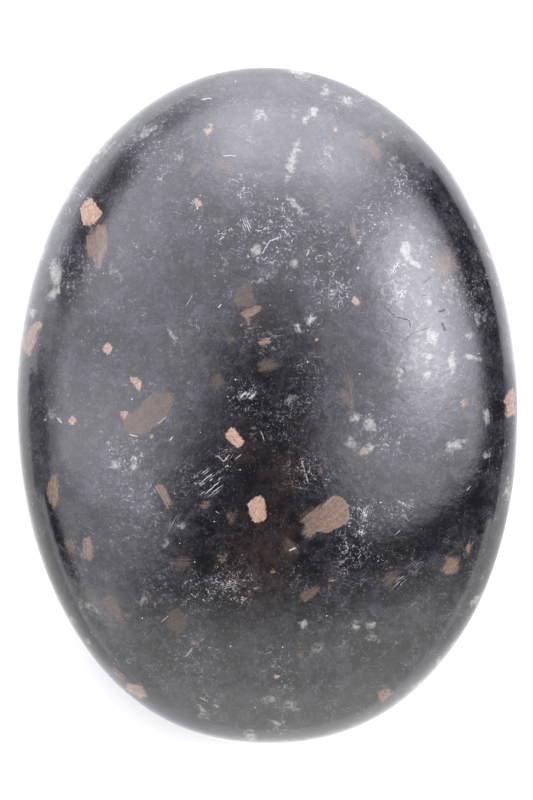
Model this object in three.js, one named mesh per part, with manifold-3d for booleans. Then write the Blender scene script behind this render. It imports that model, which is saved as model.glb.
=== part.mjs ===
// A polished palm stone: one flattened oval pebble of dark rock, about as long as a thumb,
// that lies on its back on a small flat spot. Millimetres, +Z up, +Y towards its slimmer end.
import * as THREE from "three";
import { mergeVertices } from "three/addons/utils/BufferGeometryUtils.js";
import Module from "manifold-3d";

// Driving dimensions, in millimetres.
const LENGTH = 68;
const WIDTH = 50.3;
const THICKNESS = 21;
const FLAT_DEPTH = 0.4; // what the flat spot takes off the belly

// Shape of the pebble, as plain numbers.
const SLIM_END_ROUNDNESS = 2.05; // 2 is an ellipse seen from above, and more is squarer
const FULL_END_ROUNDNESS = 2.17;
const PROFILE_ROUNDNESS = 2.15; // the same, seen from the side
const LEAN = -0.008; // how far the slim end stands over to -X, per millimetre of length
const TAPER = 0.03; // the share by which the full end is thicker than the middle

const FACES_PER_SIDE = 24; // of the ball that the pebble is drawn from, a cube blown round
const CUTTER_MARGIN = 5; // the flat spot's cutter is this much larger than the stone

const HALF_LENGTH = LENGTH / 2;
const HALF_WIDTH = WIDTH / 2;
const HALF_THICKNESS = (THICKNESS + FLAT_DEPTH) / 2;

const wasm = await Module();
wasm.setup();

// A closed geometry as a solid, with its shared vertices merged.
function solidFrom(geometry) {
  const bare = geometry.clone();
  bare.deleteAttribute("normal");
  bare.deleteAttribute("uv");
  const merged = mergeVertices(bare, 1e-4);
  return new wasm.Manifold(
    new wasm.Mesh({
      numProp: 3,
      vertProperties: merged.attributes.position.array,
      triVerts: new Uint32Array(merged.index.array),
    }),
  );
}

// A solid back as a geometry that three.js can show.
function geometryFrom(solid) {
  const { vertProperties, triVerts } = solid.getMesh();
  const geometry = new THREE.BufferGeometry();
  geometry.setAttribute("position", new THREE.BufferAttribute(vertProperties, 3));
  geometry.setIndex(new THREE.BufferAttribute(triVerts, 1));
  geometry.computeVertexNormals();
  return geometry;
}

// A unit ball of nearly even faces: a cube whose grid is spread by a tangent, then blown round.
function evenBall() {
  const ball = new THREE.BoxGeometry(2, 2, 2, FACES_PER_SIDE, FACES_PER_SIDE, FACES_PER_SIDE);
  const place = ball.attributes.position;
  const point = new THREE.Vector3();
  for (let i = 0; i < place.count; i++) {
    point.fromBufferAttribute(place, i);
    point.set(...point.toArray().map((share) => Math.tan((share * Math.PI) / 4)));
    point.normalize();
    place.setXYZ(i, point.x, point.y, point.z);
  }
  return ball;
}

// Where a point of the unit ball lies on the pebble, before the flat spot is cut.
function onPebble(point) {
  const plan = Math.hypot(point.x, point.y);
  const towardsSlimEnd = plan > 0 ? point.y / plan : 0;
  const middle = (FULL_END_ROUNDNESS + SLIM_END_ROUNDNESS) / 2;
  const swing = (FULL_END_ROUNDNESS - SLIM_END_ROUNDNESS) / 2;
  const roundness = middle - swing * towardsSlimEnd;
  const outline = (Math.abs(point.x) ** roundness + Math.abs(point.y) ** roundness) ** (1 / roundness);
  const reach =
    (outline ** PROFILE_ROUNDNESS + Math.abs(point.z) ** PROFILE_ROUNDNESS) ** (-1 / PROFILE_ROUNDNESS);
  const across = point.x * reach * HALF_WIDTH;
  const along = point.y * reach * HALF_LENGTH;
  const up = point.z * reach * HALF_THICKNESS * (1 - (TAPER * along) / HALF_LENGTH);
  return new THREE.Vector3(across + LEAN * along, along, up);
}

function pebble() {
  const geometry = evenBall();
  const place = geometry.attributes.position;
  const point = new THREE.Vector3();
  for (let i = 0; i < place.count; i++) {
    point.fromBufferAttribute(place, i);
    place.setXYZ(i, ...onPebble(point).toArray());
  }
  return geometry;
}

// The block that takes the flat spot off the belly.
function flatSpotCutter(bellyBottom) {
  const block = new THREE.BoxGeometry(WIDTH + CUTTER_MARGIN, LENGTH + CUTTER_MARGIN, THICKNESS);
  return block.translate(0, 0, bellyBottom + FLAT_DEPTH - THICKNESS / 2);
}

// The stone stands on z = 0, with the middle of its own box over the origin.
function palmStone() {
  const whole = pebble();
  whole.computeBoundingBox();
  const cut = solidFrom(whole).subtract(solidFrom(flatSpotCutter(whole.boundingBox.min.z)));
  const geometry = geometryFrom(cut);
  geometry.computeBoundingBox();
  const { min, max } = geometry.boundingBox;
  geometry.translate(-(min.x + max.x) / 2, -(min.y + max.y) / 2, -min.z);
  const polishedRock = new THREE.MeshStandardMaterial({ color: 0x1d1b1f, roughness: 0.15, metalness: 0 });
  const stone = new THREE.Mesh(geometry, polishedRock);
  stone.name = "palm_stone";
  return stone;
}

const group = new THREE.Group();
group.add(palmStone());

export default group;
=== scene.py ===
# The looks of a nuummite palm stone: one flattened oval pebble of near-black amphibole rock,
# cut, rounded and polished, with copper-brown flakes, pale patches and fine white needles in it.
# Lengths are in millimetres until they reach Blender, which works in metres.
import math

import bpy
import numpy as np
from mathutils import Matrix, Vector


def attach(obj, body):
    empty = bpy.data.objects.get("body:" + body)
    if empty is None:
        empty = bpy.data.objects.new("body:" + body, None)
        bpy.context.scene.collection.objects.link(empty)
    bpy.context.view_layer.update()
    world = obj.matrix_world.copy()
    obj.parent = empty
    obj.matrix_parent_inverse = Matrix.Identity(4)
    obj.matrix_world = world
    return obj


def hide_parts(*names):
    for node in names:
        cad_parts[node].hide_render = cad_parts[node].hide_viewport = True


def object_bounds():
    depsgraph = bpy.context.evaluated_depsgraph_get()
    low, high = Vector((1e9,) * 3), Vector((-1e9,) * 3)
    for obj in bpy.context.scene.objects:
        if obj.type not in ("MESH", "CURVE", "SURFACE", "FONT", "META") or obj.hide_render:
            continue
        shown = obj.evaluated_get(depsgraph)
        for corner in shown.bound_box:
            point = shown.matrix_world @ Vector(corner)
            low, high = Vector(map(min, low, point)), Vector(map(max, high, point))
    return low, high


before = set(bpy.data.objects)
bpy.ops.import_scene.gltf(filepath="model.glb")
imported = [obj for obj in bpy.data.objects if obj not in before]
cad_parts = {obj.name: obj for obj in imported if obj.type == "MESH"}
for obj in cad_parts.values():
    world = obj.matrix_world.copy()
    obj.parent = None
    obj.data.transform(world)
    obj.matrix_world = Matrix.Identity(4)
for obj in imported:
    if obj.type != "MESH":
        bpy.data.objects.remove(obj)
cad_low, cad_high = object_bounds()

MM = 0.001
SEED = 11

# Shape of the pebble. Its length, width and thickness come from the frame.
SIZE = (np.array(cad_high) - np.array(cad_low)) / MM
FLAT_DEPTH = 0.4  # what the flat spot takes off the belly
FLAT_EDGE = 0.15  # how far the polish has rounded the flat spot's edge
SLIM_END_ROUNDNESS = 2.05  # 2 is an ellipse seen from above, and more is squarer
FULL_END_ROUNDNESS = 2.17
PROFILE_ROUNDNESS = 2.15  # the same, seen from the side
LEAN = -0.008  # how far the slim end stands over to -X, per millimetre of length
TAPER = 0.03  # the share by which the full end is thicker than the middle
WAVE_HEIGHT = 0.05  # hand polishing leaves the surface this far from true
WAVE_LENGTH = 11.0
POINTS_ACROSS = 157  # of the cube that is blown round, along X and along Y
POINTS_UP = 61

# Finish of the rock
ROCK_IOR = 1.65  # gedrite and anthophyllite
POLISH_ROUGHNESS = 0.12
SOFTER_ROUGHNESS = 0.24  # on flakes and patches, which take less polish
DIMPLE_DEPTH = 0.02  # what the bump of the softer grains amounts to

# What the photo's frame takes in, at the height of the stone's widest outline
FRAME_HEIGHT = 80.35
FRAME_MIDDLE = np.array([-0.1, 0.55])
LENS = 120.0
SENSOR = 36.0
EYE_DISTANCE = FRAME_HEIGHT * LENS / SENSOR

scene = bpy.context.scene


def linear(hex_colour):
    """An sRGB hex colour as linear red, green, blue and alpha."""
    shares = [int(hex_colour[at:at + 2], 16) / 255 for at in (1, 3, 5)]
    return tuple(s / 12.92 if s <= 0.04045 else ((s + 0.055) / 1.055) ** 2.4 for s in shares) + (1.0,)


MATH = "ShaderNodeMath"
VECTOR = "ShaderNodeVectorMath"
RANGE = "ShaderNodeMapRange"
MIX = "ShaderNodeMix"
SMOOTH = {"interpolation_type": "SMOOTHSTEP"}
COLOURS = {"data_type": "RGBA"}


def add(tree, kind, settings, *inputs, **named):
    """Adds a node with its settings. Inputs in order skip the hidden ones, and None leaves one as it is.
    An input is a value, a socket, or a node, which stands for its first shown output."""
    node = tree.nodes.new(kind)
    if isinstance(settings, str):
        settings = {"operation": settings}
    for name, value in settings.items():
        setattr(node, name, value)
    shown = [socket for socket in node.inputs if socket.enabled]
    pairs = list(zip(shown, inputs)) + [(node.inputs[name.replace("_", " ")], v) for name, v in named.items()]
    for socket, value in pairs:
        if isinstance(value, bpy.types.Node):
            value = next(out for out in value.outputs if out.enabled)
        if isinstance(value, bpy.types.NodeSocket):
            tree.links.new(value, socket)
        elif value is not None:
            socket.default_value = value
    return node


# The pebble

PEBBLE_SIZES = {
    "Half width": SIZE[0] / 2 * MM,
    "Half length": SIZE[1] / 2 * MM,
    "Half thickness": (SIZE[2] + FLAT_DEPTH) / 2 * MM,
    "Slim end roundness": SLIM_END_ROUNDNESS,
    "Full end roundness": FULL_END_ROUNDNESS,
    "Profile roundness": PROFILE_ROUNDNESS,
    "Lean": LEAN,
    "Taper": TAPER,
    "Wave height": WAVE_HEIGHT * MM,
    "Wave length": WAVE_LENGTH * MM,
    "Flat depth": FLAT_DEPTH * MM,
    "Flat edge": FLAT_EDGE * MM,
    "Points across": POINTS_ACROSS,
    "Points up": POINTS_UP,
}


def rounded_length(tree, a, b, power):
    """(|a| ** power + |b| ** power) ** (1 / power), which is plain length where power is 2."""
    parts = [add(tree, MATH, "POWER", add(tree, MATH, "ABSOLUTE", side), power) for side in (a, b)]
    return add(tree, MATH, "POWER", add(tree, MATH, "ADD", *parts), add(tree, MATH, "DIVIDE", 1.0, power))


def pebble_tree(rock):
    """Geometry nodes that blow a finely divided cube round and press it into the pebble."""
    tree = bpy.data.node_groups.new("pebble", "GeometryNodeTree")
    for name, value in PEBBLE_SIZES.items():
        kind = "NodeSocketInt" if isinstance(value, int) else "NodeSocketFloat"
        tree.interface.new_socket(name, in_out="INPUT", socket_type=kind)
    tree.interface.new_socket("Stone", in_out="OUTPUT", socket_type="NodeSocketGeometry")
    size = tree.nodes.new("NodeGroupInput").outputs

    across = size["Points across"]
    cube = add(tree, "GeometryNodeMeshCube", {}, (2, 2, 2), across, across, size["Points up"])
    place = add(tree, "GeometryNodeInputPosition", {})
    spread = add(tree, VECTOR, "TANGENT", add(tree, VECTOR, "SCALE", place, math.pi / 4))
    ball = add(tree, VECTOR, "NORMALIZE", spread)

    x, y, z = add(tree, "ShaderNodeSeparateXYZ", {}, ball).outputs
    plan = add(tree, VECTOR, "LENGTH", add(tree, VECTOR, "MULTIPLY", ball, (1, 1, 0)))
    towards_slim = add(tree, MATH, "DIVIDE", y, plan)
    ends = (size["Full end roundness"], size["Slim end roundness"])
    roundness = add(tree, RANGE, {}, towards_slim, -1.0, 1.0, *ends)
    outline = rounded_length(tree, x, y, roundness)
    profile = rounded_length(tree, outline, z, size["Profile roundness"])
    reach = add(tree, MATH, "DIVIDE", 1.0, profile)
    halves = [size["Half " + side] for side in ("width", "length", "thickness")]
    box = add(tree, "ShaderNodeCombineXYZ", {}, *halves)
    full = add(tree, VECTOR, "MULTIPLY", add(tree, VECTOR, "SCALE", ball, reach), box)

    right, along, up = add(tree, "ShaderNodeSeparateXYZ", {}, full).outputs
    share = add(tree, MATH, "DIVIDE", along, size["Half length"])
    thinner = add(tree, MATH, "MULTIPLY", share, size["Taper"])
    thickness = add(tree, MATH, "SUBTRACT", 1.0, thinner)
    leaning = add(tree, MATH, "MULTIPLY_ADD", along, size["Lean"], right)
    height = add(tree, MATH, "MULTIPLY", up, thickness)
    pressed = add(tree, "ShaderNodeCombineXYZ", {}, leaning, along, height)
    stone = add(tree, "GeometryNodeSetPosition", {}, cube, None, pressed)

    wave_scale = add(tree, MATH, "DIVIDE", 1.0, size["Wave length"])
    waves = add(tree, "ShaderNodeTexNoise", {}, place, wave_scale, 1.0)
    swell = add(tree, MATH, "MULTIPLY", add(tree, MATH, "SUBTRACT", waves, 0.5), size["Wave height"])
    offset = add(tree, VECTOR, "SCALE", add(tree, "GeometryNodeInputNormal", {}), swell)
    stone = add(tree, "GeometryNodeSetPosition", {}, stone, Offset=offset)

    lowest = add(tree, "GeometryNodeBoundBox", {}, stone).outputs["Min"]
    belly = add(tree, "ShaderNodeSeparateXYZ", {}, lowest).outputs["Z"]
    flat = add(tree, MATH, "ADD", belly, size["Flat depth"])
    right, along, up = add(tree, "ShaderNodeSeparateXYZ", {}, place).outputs
    ground = add(tree, MATH, "SMOOTH_MAX", up, flat, size["Flat edge"])
    flattened = add(tree, "ShaderNodeCombineXYZ", {}, right, along, ground)
    stone = add(tree, "GeometryNodeSetPosition", {}, stone, None, flattened)

    stone = add(tree, "GeometryNodeSetShadeSmooth", {}, stone)
    stone = add(tree, "GeometryNodeRealizeInstances", {}, stone)
    stone = add(tree, "GeometryNodeSetMaterial", {}, stone, None, rock)
    add(tree, "NodeGroupOutput", {}, stone)
    return tree


def polished_stone(rock):
    """The finished pebble as a plain mesh, in the CAD solid's own box."""
    stone = bpy.data.objects.new("polished_stone", bpy.data.meshes.new("polished_stone"))
    scene.collection.objects.link(stone)
    maker = stone.modifiers.new("pebble", "NODES")
    maker.node_group = pebble_tree(rock)
    for item in maker.node_group.interface.items_tree:
        if item.name in PEBBLE_SIZES:
            maker[item.identifier] = PEBBLE_SIZES[item.name]
    made = stone.evaluated_get(bpy.context.evaluated_depsgraph_get())
    mesh = bpy.data.meshes.new_from_object(made)
    stone.modifiers.remove(maker)
    stone.data = mesh

    points = vectors(mesh.vertices, "co")
    low, high = points.min(0), points.max(0)
    points = np.array(cad_low) + (points - low) / (high - low) * SIZE * MM
    mesh.vertices.foreach_set("co", points.astype(np.float32).ravel())
    mesh.update()
    return stone


def vectors(items, name):
    """One vector for each of a mesh's items, as rows."""
    values = np.zeros(len(items) * 3, np.float32)
    items.foreach_get(name, values)
    return values.reshape(-1, 3).astype(float)


# Marks in the rock

# Flakes on the upper face, seen from above: outline, tone from dark brown 0 to pale copper 1,
# how far the edge is blurred by rock over it, and the direction of their cleavage in degrees.
DRAWN_FLAKES = [
    # the large ones, right of the middle and left of it
    ([(6.5, -9.1), (7.3, -9.1), (7.7, -9.4), (8.15, -10.1), (8.2, -11.0), (8.1, -11.8), (7.0, -12.3),
      (6.0, -12.8), (5.0, -12.7), (4.6, -11.9), (4.9, -10.6), (6.0, -9.6)], 0.42, 0.08, 40),
    ([(5.5, -10.0), (5.6, -12.4), (5.0, -12.7), (4.2, -13.2), (3.7, -13.0), (4.0, -12.2), (3.4, -11.6),
      (3.9, -10.9), (5.0, -10.2)], 0.34, 0.30, 40),
    ([(-14.3, -2.6), (-14.5, -2.0), (-14.2, -1.2), (-13.4, -0.6), (-12.7, 0.0), (-12.0, 0.9),
      (-11.3, 1.15), (-10.3, 1.3), (-9.8, 1.3), (-9.5, 0.7), (-9.6, 0.1), (-9.9, -0.6), (-10.3, -1.1),
      (-10.9, -1.9), (-11.6, -2.2), (-12.4, -2.8), (-13.2, -3.0), (-14.0, -2.7)], 0.17, 0.12, 40),
    # in the dark middle
    ([(-3.7, -2.2), (-3.3, -2.3), (-2.9, -2.9), (-2.35, -3.6), (-2.5, -4.0), (-3.0, -4.3),
      (-3.5, -3.9), (-4.0, -3.4), (-4.4, -3.0), (-4.1, -2.75)], 0.95, 0.07, 130),
    ([(-0.9, -9.1), (-0.45, -9.1), (-0.3, -9.8), (-0.15, -10.4), (-0.2, -11.5), (-0.7, -11.6),
      (-1.1, -11.9), (-1.6, -11.4), (-1.8, -10.9), (-1.9, -10.3), (-2.1, -9.9), (-1.7, -9.6),
      (-1.2, -9.2)], 0.90, 0.08, 65),
    ([(-0.9, 6.6), (-0.5, 6.75), (0.1, 6.85), (0.5, 6.6), (0.3, 6.3), (-0.4, 6.1),
      (-0.9, 6.2)], 0.42, 0.10, 5),
    ([(-0.9, 4.3), (-0.3, 4.6), (0.3, 4.7), (0.9, 4.2), (1.2, 3.9), (0.4, 3.5),
      (-0.9, 3.5)], 0.08, 0.22, 20),
    ([(-5.8, 2.3), (-5.7, 2.9), (-5.3, 3.3), (-4.5, 3.0), (-4.4, 2.0), (-4.8, 1.8),
      (-5.6, 1.8)], 0.06, 0.30, 80),
    ([(7.3, 1.2), (7.7, 1.3), (8.0, 0.7), (8.6, 0.5), (8.6, 0.0), (8.1, -0.1), (7.8, 0.5),
      (7.3, 0.9)], 0.16, 0.25, 130),
    ([(-6.9, -9.9), (-6.3, -9.6), (-5.8, -9.6), (-5.8, -10.2), (-6.4, -10.35)], 0.18, 0.12, 0),
    ([(-4.1, -10.9), (-3.3, -10.6), (-3.4, -11.4), (-3.8, -11.9)], 0.12, 0.25, 60),
    ([(3.1, -19.2), (3.9, -18.5), (5.0, -18.1), (5.3, -18.3), (4.6, -19.2),
      (3.8, -19.7)], 0.18, 0.18, 35),
    # above the middle
    ([(-2.6, 12.1), (-2.0, 12.4), (-1.6, 12.2), (-1.5, 11.3), (-1.2, 10.5), (-1.5, 10.1), (-2.9, 9.9),
      (-3.4, 10.4), (-3.4, 10.9), (-3.1, 11.5)], 0.10, 0.15, 20),
    ([(-2.9, 9.3), (-2.6, 9.0), (-2.0, 8.8), (-1.5, 9.0), (-0.6, 9.7), (-0.7, 10.0), (-1.0, 10.1),
      (-1.5, 9.8), (-2.3, 9.5)], 0.34, 0.12, 25),
    ([(-4.3, 6.9), (-3.8, 7.2), (-3.2, 6.7), (-3.3, 6.3), (-3.9, 6.2), (-4.3, 6.5)], 0.05, 0.25, 140),
    ([(8.5, 10.9), (8.8, 11.0), (9.0, 10.8), (9.3, 10.5), (9.3, 10.15), (8.9, 10.05),
      (8.5, 10.3)], 0.75, 0.08, 60),
    ([(8.9, 26.2), (10.3, 27.0), (11.0, 26.3), (11.4, 25.3), (11.2, 24.4), (10.8, 24.8), (10.2, 25.5),
      (9.3, 25.9)], 0.15, 0.25, 150),
    ([(-7.35, 20.8), (-7.0, 20.75), (-6.4, 20.1), (-7.1, 20.0), (-7.4, 20.3)], 0.8, 0.08, 40),
    ([(-5.9, 28.5), (-5.5, 28.2), (-5.6, 27.7), (-6.0, 27.2), (-6.4, 27.4), (-6.4, 27.8),
      (-5.9, 27.9)], 0.7, 0.10, 50),
    # towards the left rim
    ([(-17.7, 20.85), (-16.6, 19.35), (-17.0, 18.7), (-17.8, 18.0), (-18.55, 18.25), (-18.8, 19.7),
      (-18.4, 20.5)], 0.95, 0.08, 100),
    ([(-18.2, 17.0), (-17.6, 17.3), (-16.9, 18.2), (-16.2, 18.0), (-16.1, 16.0), (-16.4, 15.1),
      (-16.9, 13.7), (-17.1, 13.7), (-17.3, 14.8), (-18.0, 14.9), (-18.3, 15.7)], 0.32, 0.14, 95),
    ([(-22.9, 8.5), (-22.5, 8.0), (-23.2, 7.5), (-23.3, 6.5), (-23.7, 5.6), (-24.0, 4.95),
      (-24.4, 5.3), (-24.3, 6.5), (-24.0, 7.5), (-23.5, 8.3)], 0.6, 0.14, 70),
    ([(-16.0, 6.4), (-15.65, 6.0), (-15.65, 5.5), (-15.95, 5.05), (-16.6, 5.5),
      (-16.45, 6.0)], 0.75, 0.08, 70),
    ([(-13.8, 2.9), (-13.0, 2.8), (-12.7, 2.4), (-12.6, 1.7), (-12.9, 1.45), (-13.2, 1.7),
      (-13.4, 2.2), (-13.8, 2.3)], 0.75, 0.08, 60),
    ([(-14.9, -0.7), (-14.4, -0.5), (-14.0, -0.7), (-14.2, -1.2), (-14.45, -1.5),
      (-14.7, -1.1)], 0.7, 0.08, 90),
    ([(-19.9, -1.1), (-19.4, -1.05), (-19.15, -1.5), (-19.3, -1.9), (-19.9, -1.95),
      (-20.0, -1.5)], 0.8, 0.08, 0),
    ([(-21.7, -7.0), (-21.2, -6.9), (-21.2, -7.6), (-21.0, -8.8), (-21.0, -9.6), (-21.3, -10.3),
      (-21.7, -10.2), (-22.0, -9.4), (-22.2, -8.6), (-22.0, -7.8)], 0.38, 0.15, 85),
    ([(-18.5, -13.3), (-17.8, -13.2), (-17.6, -14.0), (-17.5, -15.4), (-17.9, -15.6), (-18.3, -15.4),
      (-18.9, -15.1), (-18.5, -14.6), (-18.6, -13.9)], 0.36, 0.15, 95),
    ([(-20.4, -13.5), (-20.0, -13.3), (-19.4, -13.5), (-19.6, -14.2), (-19.0, -14.9), (-19.9, -14.7),
      (-20.3, -14.3)], 0.2, 0.2, 60),
    ([(-11.4, -7.9), (-10.5, -8.0), (-10.1, -8.6), (-9.9, -9.4), (-9.7, -10.3), (-10.1, -10.3),
      (-10.5, -9.5), (-11.0, -8.8)], 0.34, 0.15, 120),
    ([(-15.8, -19.0), (-15.1, -19.8), (-14.7, -20.6), (-14.6, -21.8), (-15.1, -21.5), (-15.8, -20.7),
      (-16.6, -19.7)], 0.16, 0.2, 15),
    ([(-9.8, -20.5), (-9.0, -20.3), (-8.3, -20.9), (-8.1, -21.9), (-8.6, -22.8), (-9.6, -22.6),
      (-10.0, -22.0), (-9.9, -21.2)], 0.08, 0.2, 30),
    # towards the right rim and the full end
    ([(24.6, 1.8), (24.8, 1.0), (24.9, -0.9), (24.4, -1.0), (24.0, -1.3), (23.9, -0.8), (24.0, 0.0),
      (23.7, 0.3), (24.0, 1.1), (24.3, 1.5)], 0.85, 0.10, 80),
    ([(18.0, -15.2), (19.0, -15.3), (19.2, -16.0), (18.9, -16.8), (17.9, -16.9), (17.3, -16.5),
      (17.8, -16.1)], 0.40, 0.22, 50),
    ([(20.6, -13.5), (20.0, -14.0), (19.9, -14.5), (20.1, -15.0), (20.3, -14.6),
      (20.5, -14.0)], 0.5, 0.12, 60),
    ([(11.0, -28.7), (11.9, -28.5), (12.7, -28.6), (12.3, -29.1), (11.4, -29.8),
      (11.2, -29.4)], 0.42, 0.15, 70),
    ([(19.4, 0.6), (20.1, 0.6), (20.0, 0.1), (19.7, -0.2), (19.4, 0.1)], 0.5, 0.15, 40),
]

# Smaller flakes on the upper face: middle, length, width, direction in degrees, tone and blur
CHIPS = [
    (-7.2, 23.8, 1.7, 0.8, 50, 0.12, 0.35), (-4.3, 24.2, 2.4, 1.2, -15, 0.10, 0.4),
    (6.8, 27.7, 0.5, 0.5, 0, 0.9, 0.10), (11.7, 27.2, 0.7, 0.5, 40, 0.8, 0.10),
    (0.3, 18.5, 0.4, 0.4, 0, 0.6, 0.08), (-17.5, 17.5, 1.3, 0.6, 50, 0.25, 0.15),
    (-20.9, -1.4, 0.8, 0.4, 120, 0.6, 0.10), (-11.7, -3.1, 0.6, 0.45, 40, 0.9, 0.08),
    (-2.0, 8.3, 0.6, 0.5, 100, 0.4, 0.10), (-2.7, 8.1, 0.4, 0.3, 60, 0.35, 0.08),
    (-2.5, 5.7, 0.7, 0.5, 20, 0.10, 0.2), (4.95, 6.65, 0.4, 0.4, 0, 1.0, 0.08),
    (5.3, -6.6, 0.9, 0.5, 100, 0.22, 0.15), (-4.5, -15.4, 0.9, 0.6, 0, 0.25, 0.15),
    (2.2, -14.2, 2.0, 1.2, 130, 0.08, 0.35), (6.5, -17.5, 0.8, 0.35, 15, 0.5, 0.10),
    (0.5, -16.7, 0.6, 0.3, 35, 0.5, 0.10), (-7.4, -23.8, 0.9, 0.4, -5, 0.4, 0.12),
    (3.3, -24.9, 0.8, 0.5, 0, 0.15, 0.2), (12.2, -17.4, 1.9, 1.3, 40, 0.10, 0.3),
    (9.6, -4.6, 1.3, 0.5, 45, 0.6, 0.15), (-15.0, -27.0, 1.8, 0.6, -40, 0.35, 0.2),
    (-8.5, -15.7, 1.8, 1.3, 0, 0.08, 0.4), (17.8, 14.3, 2.6, 1.9, 80, 0.22, 0.45),
    (8.2, 1.9, 3.0, 0.5, 100, 0.10, 0.35), (8.6, 17.6, 1.9, 0.6, 95, 0.25, 0.2),
    (0.9, -27.2, 0.7, 0.5, 40, 0.95, 0.10), (5.5, 20.8, 1.0, 0.7, 30, 0.1, 0.3),
]

# Pale patches of finer grain on the upper face: middle, length, width, direction and strength
PALE_PATCHES = [
    (2.5, 24.6, 3.6, 0.9, 75, 0.65), (2.9, 20.0, 2.9, 0.7, -48, 0.55), (5.8, 31.5, 1.2, 0.9, 90, 0.6),
    (4.6, 29.5, 1.1, 0.8, 70, 1.0), (3.8, 28.6, 0.8, 0.6, 30, 1.0), (8.0, 30.6, 1.7, 0.8, -15, 0.6),
    (14.8, 14.3, 1.5, 0.45, -35, 1.1), (9.2, 16.5, 1.0, 0.5, 60, 0.7), (14.5, 17.8, 0.8, 0.6, 0, 0.5),
    (16.6, 6.9, 1.6, 1.0, 110, 1.0), (16.2, 10.4, 1.0, 0.7, 90, 0.8), (13.3, 3.0, 1.8, 0.5, 80, 0.6),
    (18.5, 4.3, 2.0, 0.7, 95, 1.0), (16.2, 4.9, 0.9, 0.6, 0, 1.0), (16.1, 3.1, 0.9, 0.7, 60, 1.0),
    (20.6, 4.8, 1.5, 0.5, -15, 0.9), (20.3, 7.2, 1.0, 0.8, 40, 0.6), (22.0, -1.1, 1.5, 0.6, 100, 0.9),
    (22.0, -5.0, 0.8, 0.6, 60, 0.8), (18.9, -4.0, 2.0, 1.2, 25, 0.7), (10.3, -1.9, 1.6, 1.1, -20, 0.7),
    (8.8, -1.3, 1.2, 0.9, 50, 0.7), (8.6, -3.8, 1.3, 1.0, -40, 0.6), (10.1, -4.4, 1.6, 0.8, 30, 0.8),
    (21.3, 8.9, 2.0, 1.2, 110, 0.35), (18.0, 12.0, 3.4, 1.2, 115, 0.35), (15.4, 8.6, 3.6, 0.9, 120, 0.3),
    (-21.3, 13.2, 2.6, 1.0, 95, 1.1), (-21.5, 11.2, 1.7, 0.8, 50, 0.9), (-23.6, 9.4, 1.2, 0.6, 70, 0.7),
    (-22.6, 15.4, 2.0, 0.8, 60, 0.5), (-20.0, 21.0, 3.0, 0.8, 55, 0.4),
    (-16.5, 25.5, 3.0, 0.8, 50, 0.45), (-15.2, 13.3, 1.8, 1.0, -45, 0.5),
    (-9.6, 7.1, 1.8, 0.6, -60, 0.5), (-0.7, 29.2, 1.5, 1.2, 20, 0.5), (-15.3, -5.9, 1.3, 1.0, 40, 0.7),
    (-13.4, -6.0, 1.7, 0.5, 85, 0.7), (3.0, 7.7, 1.7, 0.6, -60, 0.5), (4.3, 8.6, 1.2, 0.8, 60, 0.65),
    (-2.0, 1.1, 1.6, 0.6, 10, 0.45), (-1.1, 15.6, 1.1, 1.0, 60, 1.0), (2.7, 14.3, 0.8, 0.7, 90, 0.8),
    (-4.3, 14.8, 1.2, 0.7, 100, 0.4), (-0.6, 12.7, 2.4, 1.2, 10, 0.35), (6.7, 11.4, 1.6, 0.9, 40, 0.45),
    (2.3, 0.5, 1.4, 1.0, 50, 0.45), (-3.7, -11.0, 1.0, 0.7, 30, 0.2), (-4.6, -15.1, 0.9, 0.7, -30, 0.3),
    (-3.4, -17.6, 2.0, 1.0, -20, 0.1), (13.5, -11.4, 1.6, 1.0, 20, 0.3),
    (15.1, -16.3, 1.5, 1.0, 30, 0.2), (9.8, -11.2, 1.3, 0.9, 60, 0.15), (8.9, -22.1, 1.2, 0.8, 95, 0.7),
    (10.4, -22.1, 1.0, 0.7, 40, 0.7), (10.6, -23.3, 1.4, 0.6, -15, 0.6), (3.6, -22.0, 1.0, 0.8, 60, 0.6),
    (5.0, -24.4, 1.4, 0.8, 45, 0.5), (0.3, -29.6, 1.6, 0.9, 0, 0.6), (-6.5, -30.8, 1.4, 0.8, 120, 0.5),
    (-5.1, -30.1, 1.2, 0.5, 90, 0.4), (-18.0, -20.3, 2.2, 0.9, -25, 0.5),
    (-12.5, -19.3, 1.5, 0.8, 80, 0.5), (2.3, -30.2, 1.8, 1.2, 0, 0.4), (1.0, -32.1, 1.8, 1.0, 0, 0.5),
    (-8.6, -12.1, 0.9, 0.6, 0, 0.7), (-10.2, -13.9, 1.0, 0.7, 30, 0.5), (-1.6, -2.9, 2.0, 0.6, 105, 0.1),
    (0.0, 6.6, 2.6, 2.0, 20, 0.12), (-21.8, -1.0, 1.4, 0.8, 80, 0.4), (-12.0, 27.5, 3.0, 1.0, 30, 0.5),
    (13.0, 24.0, 2.4, 1.2, -50, 0.4), (-9.0, 25.0, 1.8, 1.2, 20, 0.35), (6.0, 25.5, 1.6, 1.0, 90, 0.35),
    (-14.0, -12.5, 2.4, 1.4, 60, 0.2), (13.9, 15.7, 1.6, 0.9, 95, 1.3), (15.2, 6.2, 7.0, 4.2, 82, 0.24),
    (13.0, 11.4, 3.6, 2.4, 100, 0.34), (17.4, 3.4, 4.0, 2.6, 100, 0.24),
    (15.8, 15.4, 4.0, 2.4, 110, 0.18),
]

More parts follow.
